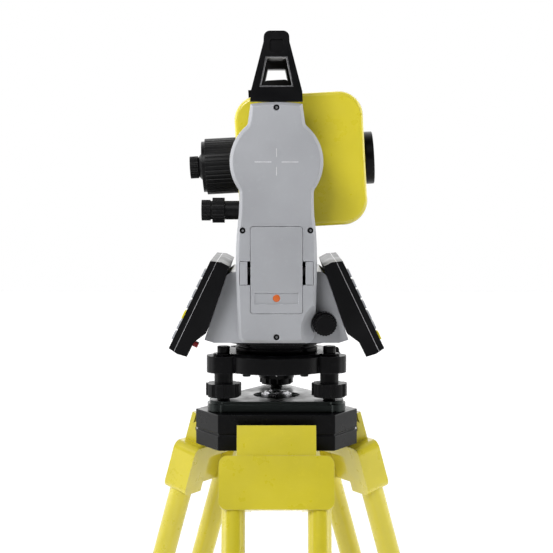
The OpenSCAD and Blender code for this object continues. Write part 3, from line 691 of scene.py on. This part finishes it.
def panel_place(side):
    """A panel's face: local X along the face towards its far end, Y up the face, Z outwards."""
    press = joint(f"keypad_{SIDES[side > 0]}_press")
    out = -Vector(press["axis"])
    across = Vector((0, side, 0))
    up = out.cross(across)
    corner = Vector((side * 62.7 * MM, 0, HEAD + 150.5 * MM))
    turn = Matrix((across, up, out)).transposed().to_4x4()
    return Matrix.Translation(corner) @ turn


SEGMENTS = {"0": "abcdef", "1": "bc", "5": "afgcd", "8": "abcdefg", "9": "abcdfg"}


def digit(bm, place, x, y, high, value):
    """Bars of one seven-segment digit whose lower left corner is at x, y (mm)."""
    wide, bar = high * 0.5, high * 0.11
    spans = {
        "a": (0, wide, high, high), "g": (0, wide, high / 2, high / 2), "d": (0, wide, 0, 0),
        "f": (0, 0, high / 2, high), "b": (wide, wide, high / 2, high),
        "e": (0, 0, 0, high / 2), "c": (wide, wide, 0, high / 2),
    }
    for name in SEGMENTS[value]:
        x0, x1, y0, y1 = spans[name]
        pad_x, pad_y = (-bar * 0.7, bar / 2) if y0 == y1 else (bar / 2, -bar * 0.7)
        left, right = x + x0 - pad_x, x + x1 + pad_x
        low, top = y + y0 - pad_y, y + y1 + pad_y
        prism([(left, low), (right, low), (right, top), (left, top)], 0.12, place, bm)


def make_panel(side):
    """The display's figures, its bezel, and the seam of the two panel halves."""
    label = SIDES[side > 0]
    face = panel_place(side)
    ink = bmesh.new()
    above = face @ Matrix.Translation((0, 0, -0.29 * MM))
    for row, text in ((-27.5, "0905015"), (-44.5, "1800000")):
        for k, value in enumerate(text):
            digit(ink, above, -34 + 9.4 * k + 2.4 * (k > 2) + 2.4 * (k > 4), row, 10, value)
    piece(f"display_figures_{label}", ink, "alidade", "display_glass", "lcd_ink")
    piece(f"display_bezel_{label}",
          frame_strip(rounded(48.2, 22.2, 2), rounded(45.4, 19.4, 1), 0.35, 0.1,
                      face @ Matrix.Translation((0, -32 * MM, 0))),
          "alidade", "black_paint")
    # Silver seam, 5.5 mm behind the face, standing a little out of the shell.
    seam = face @ Matrix.Translation((0, 0, -5.75 * MM))
    outer = [(-80.12, -92.98), (80.12, -92.98), (80.12, 2.06), (-80.12, 2.06)]
    inner = [(-79.2, -92.0), (79.2, -92.0), (79.2, 1.1), (-79.2, 1.1)]
    piece(f"panel_seam_{label}", frame_strip(outer, inner, 0.25, 0.25, seam), "alidade",
          "bright_steel")


def make_port_cap():
    """Red cap of the socket under the left panel."""
    place = panel_place(-1) @ Matrix.Translation((70 * MM, -78.5 * MM, -24.0 * MM))
    piece("port_cap", prism(rounded(5.0, 2.4, 1.0), 5.0, place), "alidade", "key_yellow",
          "signal_red", 0.5)


# ---- Optics ----------------------------------------------------------------------------


def make_optics():
    """Retaining ring in front of the objective, and the eye lens in the eyepiece ring."""
    forward = Matrix.Translation(AXIS) @ FORWARD.to_track_quat("Z", "Y").to_matrix().to_4x4()
    ring = [(19.4, 88.7), (22.3, 88.7), (22.3, 91.4), (20.6, 91.4), (19.4, 90.2), (19.4, 88.7)]
    piece("objective_retainer", lathe(ring, forward, 64), "telescope", "black_paint")
    back = forward @ Matrix.Translation((0, 0, -85.4 * MM)) @ FLIP
    piece("eye_lens", lathe([(0, -2.2), (6.3, -2.2), (6.3, -0.9), (4.2, -0.4), (0, -0.1)], back, 40),
          "eyepiece_ring", "lens_glass")


make_covers()
make_marks()
make_tribrach_screws()
make_level()
make_handle_rims()
for side in (-1, 1):
    make_panel(side)
make_port_cap()
make_optics()


# ---- Stage, camera and light -----------------------------------------------------------


def make_stage():
    """A plain pale floor."""
    mesh = bpy.data.meshes.new("floor")
    size = 14.0
    corners = [(-size, -size, 0), (size, -size, 0), (size, size, 0), (-size, size, 0)]
    mesh.from_pydata(corners, [], [(0, 1, 2, 3)])
    floor = bpy.data.objects.new("floor", mesh)
    scene.collection.objects.link(floor)
    n = Nodes("floor")
    n.join(n.mix(n.span(n.noise(3.0), 0.3, 0.7), (0.86, 0.86, 0.86), (0.9, 0.9, 0.9)),
           n.shader.inputs["Base Color"])
    n.set(Roughness=0.8, Emission_Color=(1.0, 1.0, 1.0, 1.0), Emission_Strength=0.3)
    mesh.materials.append(n.material)


def make_camera():
    """The camera looks from -Y at the instrument, from a little over the tripod head."""
    data = bpy.data.cameras.new("camera")
    camera = bpy.data.objects.new("camera", data)
    scene.collection.objects.link(camera)
    data.sensor_width = 36.0
    data.lens = 94.4
    pitch = math.radians(3.93)
    camera.location = (0.0, -1.45, HEAD + 0.230)
    camera.rotation_euler = (math.pi / 2 - pitch, 0.0, 0.0)
    data.clip_start = 0.05
    data.clip_end = 60.0
    scene.camera = camera


def area(name, place, target, size, watts):
    """A rectangular lamp at a place, aimed at a target."""
    data = bpy.data.lights.new(name, "AREA")
    data.shape = "RECTANGLE"
    data.size, data.size_y = size
    data.energy = watts
    lamp = bpy.data.objects.new(name, data)
    scene.collection.objects.link(lamp)
    lamp.location = place
    lamp.rotation_euler = (Vector(target) - Vector(place)).to_track_quat("-Z", "Y").to_euler()


def make_light():
    """Light from the far side and the ends, so that rims and rounded edges shine, and a key light.

    The backdrop itself is an even white.
    """
    world = bpy.data.worlds.new("studio")
    world.use_nodes = True
    tree = world.node_tree
    back = tree.nodes["Background"]
    back.inputs["Color"].default_value = (1.0, 1.0, 1.0, 1.0)
    where = tree.nodes.new("ShaderNodeTexCoord")
    split = tree.nodes.new("ShaderNodeSeparateXYZ")
    level = tree.nodes.new("ShaderNodeMapRange")
    set_span(level, -0.1, 0.42, 0.01, 2.1)
    tree.links.new(where.outputs["Generated"], split.inputs["Vector"])
    tree.links.new(split.outputs["Y"], level.inputs["Value"])
    backdrop = tree.nodes.new("ShaderNodeMix")
    seen = tree.nodes.new("ShaderNodeLightPath")
    backdrop.inputs["B"].default_value = 1.0
    tree.links.new(seen.outputs["Is Camera Ray"], backdrop.inputs["Factor"])
    tree.links.new(level.outputs["Result"], backdrop.inputs["A"])
    tree.links.new(backdrop.outputs["Result"], back.inputs["Strength"])
    scene.world = world
    middle = (0.0, 0.0, HEAD + 0.15)
    area("key", (-0.5, -1.1, HEAD + 1.15), (0.0, 0.0, HEAD + 0.24), (0.7, 0.7), 20.0)
    for name, side in (("left", -1), ("right", 1)):
        area(name, (1.6 * side, -0.15, HEAD + 0.5), middle, (0.8, 1.6), 12.0)
    scene.view_settings.view_transform = "Standard"


make_stage()
make_camera()
make_light()
